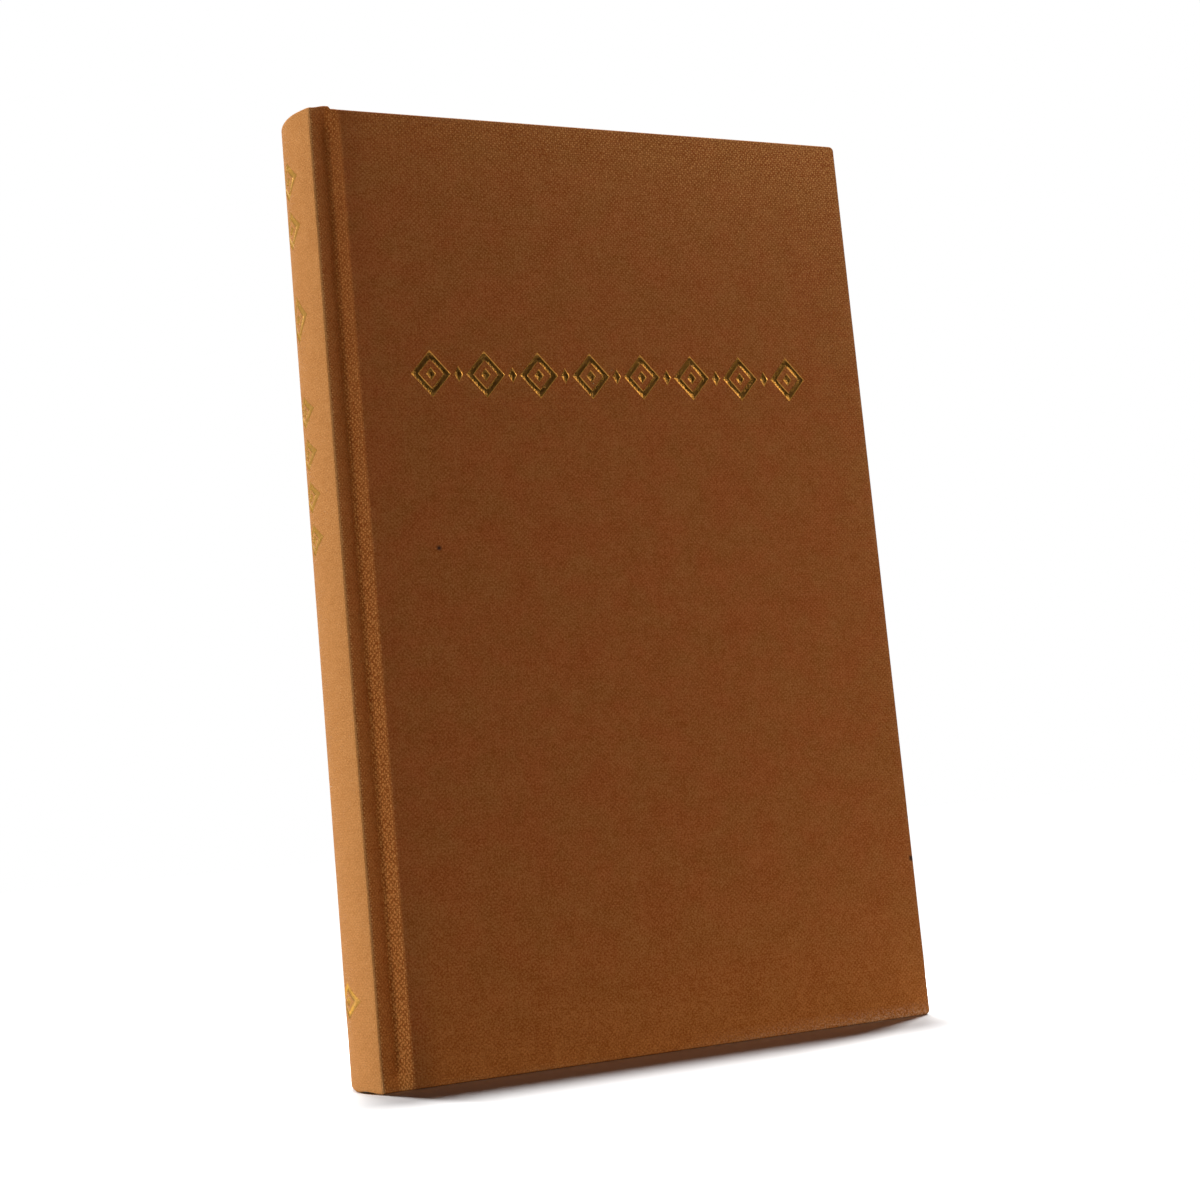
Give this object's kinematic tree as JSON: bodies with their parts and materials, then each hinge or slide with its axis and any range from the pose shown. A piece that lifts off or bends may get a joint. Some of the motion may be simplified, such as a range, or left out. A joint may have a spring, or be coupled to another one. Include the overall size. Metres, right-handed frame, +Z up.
{
  "type": "cloth-bound hardback notebook",
  "caption": "Closed cloth-bound hardback notebook standing on its tail, with a rounded spine, French grooves, gold ornament and covers that open.",
  "frame": {"origin": "middle of the footprint at the tail, on the surface that the book stands on", "axes": "+Z up from tail to head, +X from the spine to the fore-edge, the front cover faces -Y"},
  "size_m": [0.1352, 0.0196, 0.2107],
  "materials": {
    "book_cloth": "matte plain-weave book cloth, caramel brown",
    "gold_foil": "stamped gold foil, satin, broken by the weave",
    "board": "raw grey board",
    "page_paper": "uncoated cream leaves",
    "endpaper": "uncoated cream endpaper",
    "mull_gauze": "open cotton gauze",
    "lining_paper": "brown kraft paper",
    "band_thread": "striped woven band"
  },
  "bodies": {
    "book_block": {"text_block": "page_paper", "spine_mull": "mull_gauze", "spine_lining": "lining_paper", "head_band": "band_thread", "tail_band": "band_thread", "spine_inlay": "board", "spine_cloth": "book_cloth", "spine_foil": "gold_foil", "front_flyleaf": "endpaper", "back_flyleaf": "endpaper", "front_joint_cloth": "book_cloth", "front_joint_paper": "endpaper", "front_joint_mull": "mull_gauze", "back_joint_cloth": "book_cloth", "back_joint_paper": "endpaper", "back_joint_mull": "mull_gauze"},
    "front_cover": {"front_board": "board", "front_cover_cloth": "book_cloth", "front_cover_foil": "gold_foil", "front_pastedown": "endpaper", "front_mull_flange": "mull_gauze"},
    "back_cover": {"back_board": "board", "back_cover_cloth": "book_cloth", "back_pastedown": "endpaper", "back_mull_flange": "mull_gauze"}
  },
  "joints": [
    {"name": "front_cover_hinge", "type": "hinge", "parent": "book_block", "child": "front_cover", "pos_m": [-0.06428, -0.00655, 0.105], "axis": [0, 0, -1], "range_deg": [0, 179], "deforming": ["front_joint_cloth", "front_joint_paper", "front_joint_mull"]},
    {"name": "back_cover_hinge", "type": "hinge", "parent": "book_block", "child": "back_cover", "pos_m": [-0.06428, 0.00655, 0.105], "axis": [0, 0, 1], "range_deg": [0, 179], "deforming": ["back_joint_cloth", "back_joint_paper", "back_joint_mull"]}
  ]
}
